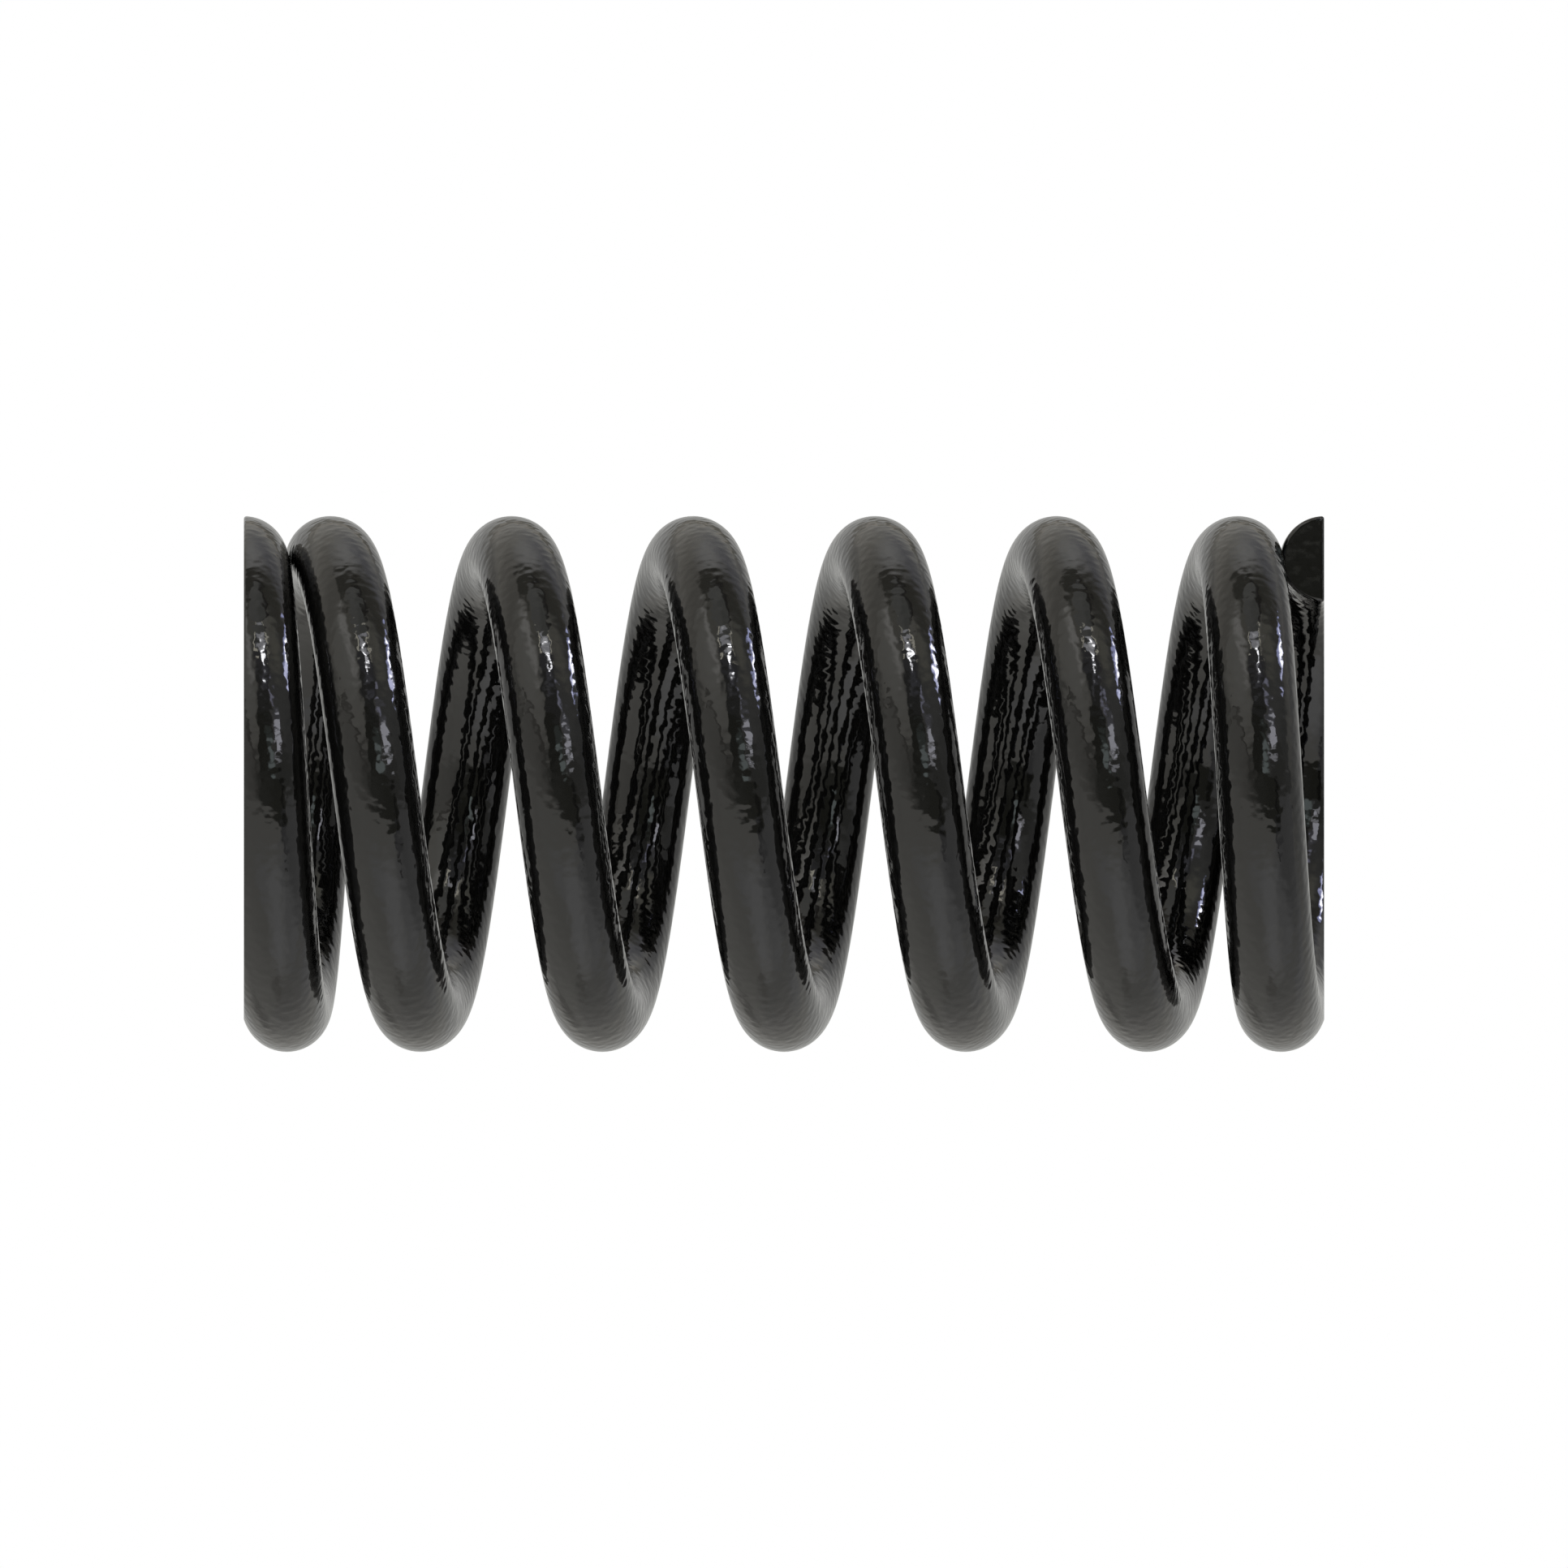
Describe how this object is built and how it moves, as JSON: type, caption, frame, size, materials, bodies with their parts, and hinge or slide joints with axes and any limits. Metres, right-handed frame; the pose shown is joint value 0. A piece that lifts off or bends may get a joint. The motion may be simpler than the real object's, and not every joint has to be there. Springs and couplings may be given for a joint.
{
  "type": "compression spring",
  "caption": "Helical compression spring of round wire, with closed ends ground flat, that pushes back along its axis when squeezed between two seats.",
  "frame": {"origin": "centre of the lower ground end, in the plane of its ground face", "axes": "+Z along the coil's axis, towards the upper ground end; +X from the axis towards both wire tips; wound right-hand about +Z"},
  "size_m": [0.025, 0.025, 0.0502],
  "materials": {
    "black_coat": "gloss"
  },
  "bodies": {
    "root": {"spring": "black_coat"}
  },
  "joints": []
}
